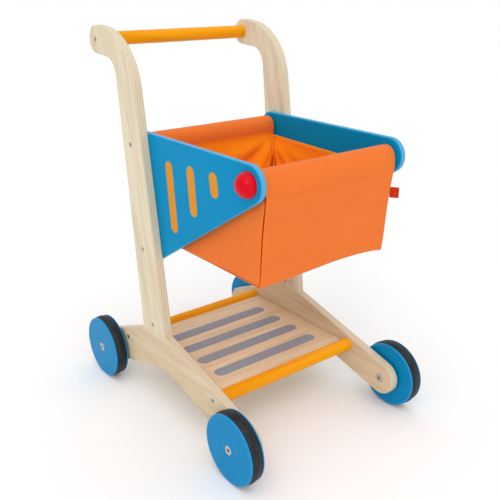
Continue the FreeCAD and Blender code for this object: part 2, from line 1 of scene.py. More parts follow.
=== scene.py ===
import math

import bpy
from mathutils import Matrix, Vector, noise


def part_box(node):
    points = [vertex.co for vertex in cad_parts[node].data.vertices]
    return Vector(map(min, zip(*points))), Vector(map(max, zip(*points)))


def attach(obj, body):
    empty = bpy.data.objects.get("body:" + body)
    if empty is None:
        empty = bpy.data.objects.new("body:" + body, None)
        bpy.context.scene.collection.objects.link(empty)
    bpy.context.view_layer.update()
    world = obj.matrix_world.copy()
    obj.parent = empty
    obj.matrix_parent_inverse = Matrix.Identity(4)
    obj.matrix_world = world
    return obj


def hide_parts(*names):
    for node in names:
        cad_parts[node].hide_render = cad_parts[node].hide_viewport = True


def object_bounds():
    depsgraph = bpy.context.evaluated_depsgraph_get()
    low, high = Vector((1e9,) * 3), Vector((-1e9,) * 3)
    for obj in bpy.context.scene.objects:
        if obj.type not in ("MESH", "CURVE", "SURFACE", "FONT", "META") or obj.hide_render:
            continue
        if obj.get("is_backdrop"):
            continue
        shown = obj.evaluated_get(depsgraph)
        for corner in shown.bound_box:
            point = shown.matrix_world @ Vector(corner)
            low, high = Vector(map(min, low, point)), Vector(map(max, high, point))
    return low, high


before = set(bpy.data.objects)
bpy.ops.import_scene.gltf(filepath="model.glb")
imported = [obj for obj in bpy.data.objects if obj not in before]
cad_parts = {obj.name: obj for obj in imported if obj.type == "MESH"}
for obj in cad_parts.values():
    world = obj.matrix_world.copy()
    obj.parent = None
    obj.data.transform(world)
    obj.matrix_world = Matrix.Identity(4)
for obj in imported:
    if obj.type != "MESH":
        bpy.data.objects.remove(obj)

MM = 0.001
UP = Vector((0, 0, 1))
ACROSS = Vector((1, 0, 0))
FORWARD = Vector((0, -1, 0))
SIDES = {"left": 1, "right": -1}
CAD_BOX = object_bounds()


# Node materials -------------------------------------------------------------------------------

def colour(red, green, blue):
    """Linear colour of an 8-bit sRGB one."""
    parts = [part / 255 for part in (red, green, blue)]
    return [part / 12.92 if part < 0.04045 else ((part + 0.055) / 1.055) ** 2.4 for part in parts] + [1]


class Finish:
    """A node material under construction; each call adds a node and returns its output."""

    def __init__(self, name, **settings):
        self.material = bpy.data.materials.new(name)
        self.material.use_nodes = True
        self.tree = self.material.node_tree
        self.shader = self.tree.nodes["Principled BSDF"]
        for socket, setting in settings.items():
            self.shader.inputs[socket.replace("_", " ")].default_value = setting

    def node(self, kind, feeds=(), out=0, **settings):
        made = self.tree.nodes.new("ShaderNode" + kind)
        for name, setting in settings.items():
            setattr(made, name, setting)
        for socket, source in dict(feeds).items():
            if isinstance(source, bpy.types.NodeSocket):
                self.tree.links.new(source, made.inputs[socket])
            else:
                made.inputs[socket].default_value = source
        return made.outputs[out]

    def into(self, socket, source):
        self.tree.links.new(source, self.shader.inputs[socket])

    def maths(self, operation, first, second=0.0, third=0.0, clamp=False):
        return self.node("Math", {0: first, 1: second, 2: third}, operation=operation, use_clamp=clamp)

    def place(self, stretch=(1, 1, 1), turn=(0, 0, 0)):
        """The point on the piece, in metres, turned and then stretched."""
        where = self.node("TexCoord", out="Object")
        turned = self.node("Mapping", {"Vector": where, "Rotation": turn})
        return self.node("Mapping", {"Vector": turned, "Scale": stretch})

    def axis(self, where, axis):
        return self.node("SeparateXYZ", {0: where}, out=axis)

    def noise(self, where, scale, detail=2.0, roughness=0.5, distortion=0.0):
        return self.node("TexNoise", {"Vector": where, "Scale": scale, "Detail": detail,
                                      "Roughness": roughness, "Distortion": distortion})

    def between(self, source, low, high, start=0.0, end=1.0):
        """source from low to high, as start to end, eased at both ends."""
        return self.node("MapRange", {0: source, 1: low, 2: high, 3: start, 4: end},
                         interpolation_type="SMOOTHSTEP")

    def ramp(self, factor, *stops):
        made = self.tree.nodes.new("ShaderNodeValToRGB")
        self.tree.links.new(factor, made.inputs[0])
        for _ in stops[2:]:
            made.color_ramp.elements.new(0.5)
        for element, (at, shade) in zip(made.color_ramp.elements, stops):
            element.position = at
            element.color = shade
        return made.outputs[0]

    def blend(self, factor, first, second, how="MIX"):
        return self.node("Mix", {0: factor, 6: first, 7: second}, out=2, data_type="RGBA", blend_type=how)

    def bump(self, *layers):
        """Relief from (height, depth in metres) pairs, one over the other."""
        normal = None
        for height, depth in layers:
            feeds = {"Height": height, "Distance": depth, "Strength": 1.0}
            if normal is not None:
                feeds["Normal"] = normal
            normal = self.node("Bump", feeds)
        self.into("Normal", normal)


def darker(shade):
    return [part * 0.62 for part in shade[:3]] + [1]


def lighter(shade, gain, lift):
    return [min(1, part * gain + lift) for part in shade[:3]] + [1]


def stretched_grain(finish, along, turn=(0, 0, 0)):
    """Broad figure, fibres and pores of wood that grows along one axis."""
    def cells(length):
        return [length if axis == along else 1 for axis in range(3)]
    figure = finish.noise(finish.place(cells(0.07), turn), 120, 3, 0.55, 0.5)
    fibres = finish.noise(finish.place(cells(0.02), turn), 1300, 2, 0.6)
    pores = finish.noise(finish.place(cells(0.09), turn), 1900, 1, 0.5)
    return figure, fibres, pores


def wood_face(finish, grain, dark, middle, light):
    """Colour of sawn or peeled wood from its figure, fibres and pores."""
    figure, fibres, pores = grain
    base = finish.ramp(figure, (0.28, dark), (0.5, middle), (0.72, light))
    base = finish.blend(finish.between(fibres, 0.35, 0.7, 0.0, 0.14), base, dark)
    return finish.blend(finish.between(pores, 0.66, 0.76, 0.0, 0.18), base, darker(dark))


def plies(finish, across, start, thickness, count):
    """Edge of plywood: 0 in a light ply, 1 in a dark one, with the glue lines between them."""
    wander = finish.noise(finish.place(), 260, 2)
    across = finish.maths("MULTIPLY_ADD", wander, 0.00035, across)
    layer = finish.maths("MULTIPLY", finish.maths("SUBTRACT", across, start), count / thickness)
    odd = finish.maths("PINGPONG", layer, 1.0)
    ply = finish.between(odd, 0.38, 0.62)
    glue = finish.maths("ABSOLUTE", finish.maths("SUBTRACT", odd, 0.5))
    return ply, finish.between(glue, 0.02, 0.09, 1.0, 0.0)


def plywood(name, grain_along, turn, layer_axis, start, thickness, count, shades):
    """Lacquered plywood: veneer on its faces, stacked plies on its edges."""
    finish = Finish(name, Specular_IOR_Level=0.2)
    grain = stretched_grain(finish, grain_along, turn)
    face = wood_face(finish, grain, *shades)
    across = finish.maths("ABSOLUTE", finish.axis(finish.place(), layer_axis))
    ply, glue = plies(finish, across, start, thickness, count)
    speck = finish.noise(finish.place(), 900, 3, 0.6)
    edge = finish.blend(ply, colour(227, 214, 188), colour(214, 199, 171))
    edge = finish.blend(finish.between(speck, 0.45, 0.75, 0.0, 0.22), edge, colour(190, 168, 134))
    edge = finish.blend(finish.maths("MULTIPLY", glue, 0.34), edge, colour(162, 140, 108))
    facing = finish.maths("ABSOLUTE", finish.axis(finish.node("TexCoord", out="Normal"), layer_axis))
    on_face = finish.between(facing, 0.72, 0.93)
    finish.into("Base Color", finish.blend(on_face, edge, face))
    finish.into("Roughness", finish.between(grain[1], 0.3, 0.7, 0.38, 0.5))
    layers = finish.maths("MULTIPLY", glue, finish.maths("SUBTRACT", 1.0, on_face))
    finish.bump((grain[1], 0.00006), (layers, -0.00012))
    return finish.material


def dowel(name, shades, gloss, **settings):
    """Turned rod along X: stain or paint that lets a little grain through."""
    finish = Finish(name, **settings)
    grain = stretched_grain(finish, 0)
    finish.into("Base Color", wood_face(finish, grain, *shades))
    finish.into("Roughness", finish.between(grain[0], 0.3, 0.7, gloss, gloss + 0.12))
    finish.bump((grain[1], 0.00005), (grain[0], 0.00008))
    return finish.material


def panel_paint(name, shade):
    """Rolled satin-gloss paint on plywood, with a fine orange peel and the wood's grain under it."""
    finish = Finish(name, Specular_IOR_Level=0.05)
    grain = stretched_grain(finish, 1, (math.radians(-17), 0, 0))
    cloud = finish.noise(finish.place(), 14, 3, 0.6)
    base = finish.blend(finish.between(cloud, 0.3, 0.7, 0.0, 0.1), shade, darker(shade))
    base = finish.blend(finish.between(grain[1], 0.5, 0.8, 0.0, 0.12), base, darker(shade))
    # Painted highlight: where the face turns away from X, on the rounded edges, the blue is painted lighter.
    facing = finish.maths("ABSOLUTE", finish.axis(finish.node("TexCoord", out="Normal"), 0))
    edge = finish.between(facing, 0.35, 0.9, 0.62, 0.0)
    finish.into("Base Color", finish.blend(edge, base, lighter(shade, 1.15, 0.16)))
    finish.into("Roughness", finish.between(cloud, 0.3, 0.7, 0.3, 0.42))
    peel = finish.noise(finish.place(), 620, 2)
    finish.bump((peel, 0.00006), (grain[1], 0.00004))
    return finish.material


def wheel_enamel(name, shade, axle_y, axle_z):
    """Gloss enamel on a turned disc, with faint rings from the lathe round the axle."""
    finish = Finish(name, Specular_IOR_Level=0.08)
    where = finish.place()
    along = finish.maths("SUBTRACT", finish.maths("ABSOLUTE", finish.axis(where, 1)), axle_y)
    up = finish.maths("SUBTRACT", finish.axis(where, 2), axle_z)
    squares = finish.maths("ADD", finish.maths("MULTIPLY", along, along), finish.maths("MULTIPLY", up, up))
    radius = finish.maths("SQRT", squares)
    rings = finish.noise(finish.node("CombineXYZ", {0: radius}), 850, 3, 0.7)
    cloud = finish.noise(where, 30, 3)
    base = finish.blend(finish.between(cloud, 0.3, 0.75, 0.0, 0.05), shade, darker(shade))
    base = finish.blend(finish.between(rings, 0.35, 0.75, 0.0, 0.05), base, darker(shade))
    # Painted highlight: the blue is painted lighter towards the rim's rounded edge.
    rim_highlight = finish.between(radius, 0.0395, 0.0425, 0.0, 0.35)
    finish.into("Base Color", finish.blend(rim_highlight, base, lighter(shade, 1.3, 0.04)))
    finish.into("Roughness", finish.between(cloud, 0.3, 0.7, 0.26, 0.31))
    finish.bump((rings, 0.00002))
    return finish.material


def rubber(name, middle_x):
    """Moulded black rubber with a parting line round the tread and a fine matt grain."""
    finish = Finish(name, Specular_IOR_Level=0.3)
    where = finish.place()
    across = finish.maths("ABSOLUTE", finish.axis(where, 0))
    off = finish.maths("ABSOLUTE", finish.maths("SUBTRACT", across, middle_x))
    line = finish.between(off, 0.00015, 0.00055, 1.0, 0.0)
    dust = finish.noise(where, 90, 4, 0.65)
    finish.into("Base Color", finish.ramp(dust, (0.35, colour(17, 19, 22)), (0.75, colour(44, 47, 52))))
    finish.into("Roughness", finish.between(dust, 0.3, 0.7, 0.42, 0.6))
    finish.bump((finish.noise(where, 1500, 2), 0.00006), (line, 0.0003))
    return finish.material


def plated_steel(name):
    """Zinc-plated steel with fine random scratches and slightly uneven lustre."""
    finish = Finish(name, Metallic=1.0)
    scratches = finish.noise(finish.place((1, 1, 0.12)), 2600, 2, 0.7)
    cloud = finish.noise(finish.place(), 420, 3)
    finish.into("Base Color", finish.ramp(cloud, (0.3, colour(168, 168, 170)), (0.7, colour(214, 213, 208))))
    finish.into("Roughness", finish.between(scratches, 0.3, 0.7, 0.2, 0.4))
    finish.bump((scratches, 0.00003))
    return finish.material


def gloss_lacquer(name, shade):
    """Dipped gloss lacquer that has flowed smooth, with a slight waviness."""
    finish = Finish(name, Specular_IOR_Level=0.13)
    cloud = finish.noise(finish.place(), 70, 3)
    deep = finish.between(cloud, 0.3, 0.7, 0.0, 0.2)
    finish.into("Base Color", finish.blend(deep, shade, darker(shade)))
    finish.into("Roughness", finish.between(cloud, 0.3, 0.7, 0.14, 0.24))
    finish.bump((finish.noise(finish.place(), 240, 2), 0.00007))
    return finish.material


def print_ink(name, shade, along):
    """Screen-printed stripe: a matt film through which the wood's fibres still show."""
    finish = Finish(name, Specular_IOR_Level=0.08)
    grain = stretched_grain(finish, along)
    base = finish.blend(finish.between(grain[1], 0.35, 0.75, 0.0, 0.16), shade, darker(shade))
    worn = finish.between(grain[0], 0.4, 0.75, 0.0, 0.22)
    finish.into("Base Color", finish.blend(worn, base, lighter(shade, 1.15, 0.02)))
    finish.into("Roughness", finish.between(grain[0], 0.3, 0.7, 0.42, 0.55))
    finish.bump((grain[1], 0.00007))
    return finish.material


def canvas(name, shade, valley, thread, sheen):
    """Plain-woven canvas; the weave follows the piece's own flat pattern, in metres."""
    finish = Finish(name, Sheen_Weight=sheen, Sheen_Roughness=0.45, Specular_IOR_Level=0.08)
    flat = finish.node("UVMap", uv_map="flat")
    wobble = finish.noise(flat, 180, 2)
    turn = 2 * math.pi / thread
    warp, weft = (finish.maths("SINE", finish.maths("MULTIPLY_ADD", finish.axis(flat, axis), turn,
                                                    finish.maths("MULTIPLY", wobble, 2.4)))
                  for axis in (0, 1))
    weave = finish.maths("MULTIPLY_ADD", finish.maths("MULTIPLY", warp, weft), 0.5, 0.5)
    slubs, slubs_too = (finish.noise(finish.node("Mapping", {"Vector": flat, "Scale": scale}), 1100, 2, 0.6)
                        for scale in ((1, 0.12, 1), (0.12, 1, 1)))
    cloud = finish.noise(finish.place(), 22, 3, 0.55)
    base = finish.blend(finish.between(weave, 0.0, 0.8, 0.42, 0.0), shade, valley)
    base = finish.blend(finish.between(slubs, 0.4, 0.75, 0.0, 0.2), base, valley)
    base = finish.blend(finish.between(slubs_too, 0.4, 0.75, 0.0, 0.2), base, valley)
    base = finish.blend(finish.between(cloud, 0.3, 0.75, 0.0, 0.16), base, valley)
    finish.into("Base Color", base)
    finish.into("Roughness", finish.between(weave, 0.0, 1.0, 0.92, 0.78))
    finish.bump((weave, 0.00011), (slubs, 0.00008), (finish.noise(finish.place(), 55, 3), 0.0007))
    return finish.material


def fuzz(name, shade, dark):
    """Cut edges and threads: matt fibres."""
    finish = Finish(name, Sheen_Weight=0.12, Specular_IOR_Level=0.08)
    fibres = finish.noise(finish.place(), 1700, 3, 0.65)
    finish.into("Base Color", finish.ramp(fibres, (0.3, dark), (0.65, shade)))
    finish.into("Roughness", finish.between(fibres, 0.3, 0.7, 0.75, 0.95))
    finish.bump((fibres, 0.00012))
    return finish.material


# Places, from the CAD nodes -------------------------------------------------------------------

def middle(node):
    low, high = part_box(node)
    return (low + high) / 2


LEG_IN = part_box("left_leg")[0].x
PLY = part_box("left_leg")[1].x - LEG_IN
SHELF_LOW, SHELF_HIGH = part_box("shelf_board")
WHEEL = middle("rear_left_wheel")
TYRE = middle("rear_left_tyre")
FRONT_ROD = middle("basket_front_rod")
REAR_ROD = middle("basket_rear_rod")
BASKET_LOW, BASKET_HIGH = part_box("basket")

BIRCH = colour(208, 192, 160), colour(219, 206, 178), colour(228, 217, 194)
BIRCH_LEG = colour(202, 178, 143), colour(214, 193, 160), colour(222, 205, 176)
BIRCH_SHELF = colour(212, 186, 150), colour(224, 200, 165), colour(232, 211, 180)
YELLOW_STAIN = colour(232, 146, 0), colour(243, 160, 2), colour(250, 172, 14)
BEECH = colour(205, 170, 128), colour(220, 188, 148), colour(229, 201, 165)
UPRIGHT = 0, 0, 0
POST_LEAN = math.radians(14), 0, 0
PLIES, SHELF_PLIES = 7, 3
BLUE = colour(0, 138, 188)
WHEEL_BLUE = colour(0, 132, 188)
ORANGE, ORANGE_VALLEY = colour(238, 124, 50), colour(223, 101, 33)
# Inside of the canvas: the same cloth painted lighter and yellower, painted light for light shining through
# it.
INSIDE_PAINTED_LIGHT, INSIDE_PAINTED_LIGHT_VALLEY = colour(255, 146, 20), colour(246, 122, 10)

FINISHES = {
    "post": plywood("birch_plywood_post", 2, POST_LEAN, 0, LEG_IN, PLY, PLIES, BIRCH),
    "leg": plywood("birch_plywood_leg", 1, UPRIGHT, 0, LEG_IN, PLY, PLIES, BIRCH_LEG),
    "shelf_board": plywood("thin_shelf_plywood", 0, UPRIGHT, 2, SHELF_LOW.z, SHELF_HIGH.z - SHELF_LOW.z,
                           SHELF_PLIES, BIRCH_SHELF),
    "side_panel": panel_paint("satin_blue_paint", BLUE),
    "cap": gloss_lacquer("gloss_red_lacquer", colour(214, 0, 24)),
    "handle_bar": dowel("yellow_orange_dowel", YELLOW_STAIN, 0.34, Specular_IOR_Level=0.12),
    "rod": dowel("bare_beech_dowel", BEECH, 0.5, Specular_IOR_Level=0.2),
    "wheel": wheel_enamel("gloss_blue_enamel", WHEEL_BLUE, WHEEL.y, WHEEL.z),
    "tyre": rubber("black_rubber", TYRE.x),
    "steel": plated_steel("zinc_plated_steel"),
}
WEAVE_PITCH, RIBBON_PITCH = 0.0011, 0.0007
CLOTH_SHEEN, RIBBON_SHEEN = 0.12, 0.08
STRIPE_GOLD = print_ink("printed_gold", colour(216, 143, 34), 1)
STRIPE_GREY = print_ink("printed_grey", colour(148, 154, 164), 0)
CLOTH_OUT = canvas("orange_canvas", ORANGE, ORANGE_VALLEY, WEAVE_PITCH, CLOTH_SHEEN)
CLOTH_IN_PAINTED_LIGHT = canvas("orange_canvas_inside_painted_light", INSIDE_PAINTED_LIGHT, INSIDE_PAINTED_LIGHT_VALLEY, WEAVE_PITCH, CLOTH_SHEEN)
# Painted shade: darker canvas on the allowances' outer faces, deep in the seams.
CLOTH_PAINTED_SEAM_SHADE = canvas("orange_canvas_painted_seam_shade", colour(204, 84, 26), colour(184, 62, 14), WEAVE_PITCH, 0.0)
# Painted shade: darker canvas in the first row of faces beside each seam, in the crease.
CLOTH_PAINTED_CREASE_SHADE = canvas("orange_canvas_painted_crease_shade", colour(212, 94, 32), colour(194, 72, 18), WEAVE_PITCH, 0.0)
CLOTH_EDGE = fuzz("canvas_cut_edge", colour(236, 150, 92), colour(226, 118, 54))
THREAD = fuzz("orange_thread", colour(238, 122, 48), colour(222, 98, 34))
RIBBON = canvas("red_ribbon", colour(206, 54, 26), colour(172, 30, 14), RIBBON_PITCH, RIBBON_SHEEN)

FINISH_OF_ENDING = {"_leg": "leg", "_post": "post", "shelf_board": "shelf_board", "_side_panel": "side_panel",
                    "_cap": "cap", "handle_bar": "handle_bar", "_rail": "handle_bar", "_rod": "rod",
                    "_wheel": "wheel", "_tyre": "tyre"}


def finish_of(node):
    """Name of a CAD node's finish: screws, nuts, bolts and washers are the steel ones."""
    return next((finish for ending, finish in FINISH_OF_ENDING.items() if node.endswith(ending)), "steel")


for node_name, node_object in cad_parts.items():
    node_object.data.materials.clear()
    node_object.data.materials.append(FINISHES[finish_of(node_name)])


# Printed stripes ------------------------------------------------------------------------------

def new_piece(name, points, faces, materials, smooth=True):
    mesh = bpy.data.meshes.new(name)
    mesh.from_pydata(points, [], faces)
    for material in materials:
        mesh.materials.append(material)
    mesh.polygons.foreach_set("use_smooth", [smooth] * len(mesh.polygons))
    piece = bpy.data.objects.new(name, mesh)
    bpy.context.scene.collection.objects.link(piece)
    return piece


FILM, FILM_ROUNDING, FILM_LIFT = 0.00009, 0.00025, 0.00002
FILM_RINGS = (0.0, FILM_LIFT), (FILM_ROUNDING * 0.3, FILM * 0.7), (FILM_ROUNDING, FILM)
TIP_STEPS = 24


def stripe(name, start, end, width, out, material, slot):
    """Rounded film of ink from tip to tip, lying on a face whose normal is out."""
    along = (end - start).normalized()
    beside = out.cross(along)
    radius = width / 2
    rings = []
    for inset, height in FILM_RINGS:
        ring = []
        for tip, turn, facing in ((start, 90, 1), (end, -90, -1)):
            centre = tip + along * radius * facing
            for step in range(TIP_STEPS + 1):
                angle = math.radians(turn + 180 * step / TIP_STEPS)
                spoke = along * math.cos(angle) + beside * math.sin(angle)
                ring.append(centre + spoke * (radius - inset) + out * height)
        rings.append(ring)
    count = len(rings[0])
    faces = [(count * (level - 1) + step, count * (level - 1) + (step + 1) % count,
              count * level + (step + 1) % count, count * level + step)
             for level in (1, 2) for step in range(count)]
    faces.append(tuple(range(2 * count, 3 * count)))
    piece = new_piece(name, [point for ring in rings for point in ring], faces, [material])
    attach(piece, "frame")
    return piece


SHELF_STRIPES = (0.063, 0.0257, -0.0105, -0.0484)
SHELF_STRIPE_REACH, SHELF_STRIPE_WIDTH, PANEL_STRIPE_WIDTH = 0.084, 0.018, 0.0146
for number, stripe_y in enumerate(SHELF_STRIPES, start=1):
    ends = [Vector((side * SHELF_STRIPE_REACH, stripe_y, SHELF_HIGH.z)) for side in (-1, 1)]
    stripe(f"shelf_stripe_{number}", *ends, SHELF_STRIPE_WIDTH, UP, STRIPE_GREY, "shelf_plywood")

# Tips of each stripe's middle line on a panel, along and up, in millimetres.
PANEL_STRIPES = [((4.7, 341.0), (-4.3, 255.0)), ((-40.3, 344.0), (-46.4, 286.0)),
                 ((-83.7, 346.0), (-88.5, 318.0))]
for side_name, side in SIDES.items():
    face_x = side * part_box("left_side_panel")[1].x
    for number, (top, foot) in enumerate(PANEL_STRIPES, start=1):
        ends = [Vector((face_x, along * MM, up * MM)) for along, up in (top, foot)]
        stripe(f"{side_name}_panel_stripe_{number}", *ends, PANEL_STRIPE_WIDTH, ACROSS * side, STRIPE_GOLD,
               "blue_paint")


# Fabric basket --------------------------------------------------------------------------------
# One long canvas strip makes the front sleeve, front wall, floor, rear wall and rear sleeve; two
# side pieces are sewn to its edges. Seams turn inwards, so each shows as a groove outside.

HALF = BASKET_HIGH.x - 0.001
FLOOR_Z = BASKET_LOW.z - 0.0004
CLOTH = 0.0009
FRONT_FOOT_Y, REAR_FOOT_Y = BASKET_LOW.y + 0.0088, BASKET_LOW.y + 0.2072
FINE = (0, 1.1, 2.4, 4.2, 6.8, 10.2, 14.5)
# Shape of the cloth beside a seam, for distances of FINE millimetres from it: how far it moves along
# its own wall, away from the edge, and how far into the basket.
SEAM_SHIFT = (0, 0.42, 0.2, 0.1, 0, 0, 0)
SEAM_INSET = (2.6, 0.3, -0.5, -0.8, -0.45, -0.15, 0)
SEAM_HALF_GAP = 0.0005
SEAM_ALLOWANCE = 0.0075
SIDE_HEIGHT = 0.106
# Spacing of the cloth's grid away from its seams: millimetres, and hundredths of a wall's height.
FLOOR_SPACING, WALL_SPACING = 5.2, 5.0
CURVE_STEPS, LOOP_STEPS, WALL_PERCENT = 24, 22, 100


def steps(length, coarse, fine_end=True):
    """Distances from 0 to length, close together near the start, and near the end too where fine_end."""
    head = list(FINE)
    tail = [length - gap for gap in reversed(FINE)] if fine_end else [length]
    free = tail[0] - head[-1]
    count = max(1, round(free / coarse))
    return head + [head[-1] + free * step / count for step in range(1, count)] + tail


def smooth_path(points, fractions):
    """Points at these shares of the length of a smooth curve through points."""
    line = []
    for index in range(len(points) - 1):
        before = points[max(0, index - 1)]
        start, end = points[index], points[index + 1]
        after = points[min(len(points) - 1, index + 2)]
        for step in range(CURVE_STEPS):
            share = step / CURVE_STEPS
            line.append(0.5 * ((2 * start) + (end - before) * share
                               + (2 * before - 5 * start + 4 * end - after) * share ** 2
                               + (3 * start - before - 3 * end + after) * share ** 3))
    line.append(points[-1])
    lengths = [0.0]
    for start, end in zip(line, line[1:]):
        lengths.append(lengths[-1] + (end - start).length)
    found, index = [], 0
    for fraction in fractions:
        target = fraction * lengths[-1]
        while index < len(line) - 2 and lengths[index + 1] < target:
            index += 1
        span = lengths[index + 1] - lengths[index]
        found.append(line[index].lerp(line[index + 1], min(1, (target - lengths[index]) / span)))
    return found


def profile(origin, offsets):
    """Section points (along, up), given in millimetres from a centre."""
    return [Vector((0, origin.y + along * MM, origin.z + up * MM)) for along, up in offsets]


FRONT_LOOP = profile(FRONT_ROD, [(-8.5, -15.6), (-2.0, -13.9), (5.2, -11.6), (10.6, -7.0), (12.6, -0.5),
                                 (11.0, 6.8), (6.4, 11.6), (0.0, 13.2), (-6.4, 11.7), (-11.2, 7.2),
                                 (-13.6, 0.4), (-14.3, -7.0), (-13.9, -14.8)])
FRONT_WALL = [FRONT_LOOP[-1]] + profile(FRONT_ROD, [(-13.0, -26.0), (-10.9, -41.0), (-8.6, -62.0),
                                                     (-7.0, -86.0), (-5.8, -104.0)])
FRONT_WALL += [Vector((0, FRONT_FOOT_Y, FLOOR_Z))]
REAR_FOOT = Vector((0, REAR_FOOT_Y, FLOOR_Z))
REAR_LOOP = profile(REAR_ROD, [(-12.4, -12.8), (-13.3, -7.0), (-13.2, 0.0), (-11.0, 6.2), (-6.2, 9.9),
                               (0.4, 11.2), (6.8, 9.9), (11.6, 5.8), (13.0, 0.0), (11.6, -6.8), (6.6, -11.8),
                               (0.0, -13.6), (-6.6, -13.4), (-11.0, -13.2)])
REAR_WALL = [REAR_FOOT] + profile(REAR_ROD, [(-21.6, -100.0), (-18.9, -70.0), (-15.9, -42.0), (-13.3, -22.0)])
REAR_WALL += [REAR_LOOP[0]]
FRONT_FOOT = FRONT_WALL[-1]

floor_steps = steps((REAR_FOOT.y - FRONT_FOOT.y) / MM, FLOOR_SPACING)
cross_steps = steps(2 * HALF / MM, FLOOR_SPACING)
loop_shares = [step / LOOP_STEPS for step in range(LOOP_STEPS + 1)]
wall_shares = [step / WALL_PERCENT for step in steps(WALL_PERCENT, WALL_SPACING, fine_end=False)]
floor_shares = [step / floor_steps[-1] for step in floor_steps]

front_loop = smooth_path(FRONT_LOOP, loop_shares)
front_wall = smooth_path(FRONT_WALL, [1 - share for share in reversed(wall_shares)])
floor_line = smooth_path([FRONT_FOOT, REAR_FOOT], floor_shares)
rear_wall = smooth_path(REAR_WALL, wall_shares)
rear_loop = smooth_path(REAR_LOOP, loop_shares)

ROWS, sections, flat_rows = [], [], []
for section, line in (("front_loop", front_loop), ("front", front_wall), ("floor", floor_line),
                      ("rear", rear_wall), ("rear_loop", rear_loop)):
    for point in (line if section == "front_loop" else line[1:]):
        flat_rows.append(flat_rows[-1] + (point - ROWS[-1]).length if ROWS else 0.0)
        ROWS.append(point)
        sections.append(section)
FRONT_TOP = len(front_loop) - 1
FRONT_FOLD = FRONT_TOP + len(front_wall) - 1
REAR_FOLD = FRONT_FOLD + len(floor_line) - 1
REAR_TOP = REAR_FOLD + len(rear_wall) - 1
COLUMNS = [step * MM - HALF for step in cross_steps]

points = [Vector((x, row.y, row.z)) for row in ROWS for x in COLUMNS]
strip = [[row * len(COLUMNS) + column for column in range(len(COLUMNS))] for row in range(len(ROWS))]


def side_grid(column):
    """Indices of a side piece, front to rear and floor to top, sharing the strip's edge."""
    front = [strip[row][column] for row in range(FRONT_FOLD, FRONT_TOP - 1, -1)]
    foot = [strip[row][column] for row in range(FRONT_FOLD, REAR_FOLD + 1)]
    rear = [strip[row][column] for row in range(REAR_FOLD, REAR_TOP + 1)]
    grid = []
    for along, base in enumerate(foot):
        share = floor_shares[along]
        line = []
        for up in range(len(front)):
            if along == 0:
                line.append(front[up])
            elif along == len(foot) - 1:
                line.append(rear[up])
            elif up == 0:
                line.append(base)
            else:
                level = wall_shares[up]
                start, end = points[front[up]], points[rear[up]]
                top = points[front[-1]].lerp(points[rear[-1]], share)
                corner = points[front[0]].lerp(points[rear[0]], share)
                spot = start.lerp(end, share) + points[base].lerp(top, level) - corner.lerp(top, level)
                points.append(spot)
                line.append(len(points) - 1)
        grid.append(line)
    return grid


sides = {"left": side_grid(len(COLUMNS) - 1), "right": side_grid(0)}


def eased(amount, low, high):
    share = min(1.0, max(0.0, (amount - low) / (high - low)))
    return share * share * (3 - 2 * share)


# Each fold: degrees from the corner seam, half width, height in millimetres, degrees of bend per metre.
REAR_FOLDS = {"left": ((22, 8, 10.5, 90), (46, 9, 12.5, -70), (70, 8, 6.5, 40)),
              "right": ((22, 9, 8.5, -50), (46, 9, 10.0, 60), (70, 8, 5.0, 0))}
SIDE_FOLDS = {"left": ((21, 7, 8.0, 90), (44, 8, 7.5, 50), (66, 7, 3.5, 0)),
              "right": ((22, 8, 6.5, 0), (46, 8, 6.5, 50), (68, 7, 3.0, 0))}
# Distances in metres over which the folds and the pull on a corner grow, and then fade.
GATHER_RISE, GATHER_FADE, GATHER_LOSS = (0.001, 0.030), (0.062, 0.112), 0.85
TUCK_RISE, TUCK_FADE, TUCK_DEPTH, TUCK_WIDTH = (0.002, 0.022), (0.030, 0.078), 0.0085, 0.017
# The floor's front edge bows up between its corners, most a third of the way from its middle to the left.
BOW_RISE, BOW_LEAN, BOW_UP, BOW_BACK = 0.0040, 1.7, 0.045, 0.11
FLOOR_RISE, SIDE_BELLY, SLACK_MARGIN, HEM_RISE = 0.0012, 0.0012, 0.02, (0.085, 0.104)
SETTLE_FRAMES, SETTLE_REACH = 18, 0.0045


def gather(point, beside, folds):
    """How far gathered cloth stands inwards near the top of a rear corner, where the sleeve bunches it: a
    fan of folds that starts at the corner's top and fades with distance from it."""
    drop = REAR_LOOP[0].z - point.z
    reach = math.hypot(beside, drop)
    angle = math.degrees(math.atan2(beside, max(drop, 1e-6)))
    size = eased(reach, *GATHER_RISE) * (1 - GATHER_LOSS * eased(reach, *GATHER_FADE))
    height = sum(tall * math.exp(-((angle - at - bend * reach) / wide) ** 2)
                 for at, wide, tall, bend in folds)
    return MM * height * size


def tuck(point, side):
    """Inward pull of the gathers on a rear corner, strongest a little below the sleeve."""
    drop = REAR_LOOP[0].z - point.z
    away = math.hypot(HALF - side * point.x, REAR_LOOP[0].y - point.y)
    pull = eased(drop, *TUCK_RISE) * (1 - eased(drop, *TUCK_FADE))
    swing = 1 + 0.35 * math.sin(drop * 150)
    return TUCK_DEPTH * pull * swing * math.exp(-(away / TUCK_WIDTH) ** 2)


def slack(point, seed):
    """Gentle unevenness of hanging cloth: broad waves that differ from wall to wall, and finer ones."""
    broad = noise.noise(point * 24 + Vector((seed, 0, 0)))
    return 0.0011 * broad + 0.0006 * noise.noise(point * 55)


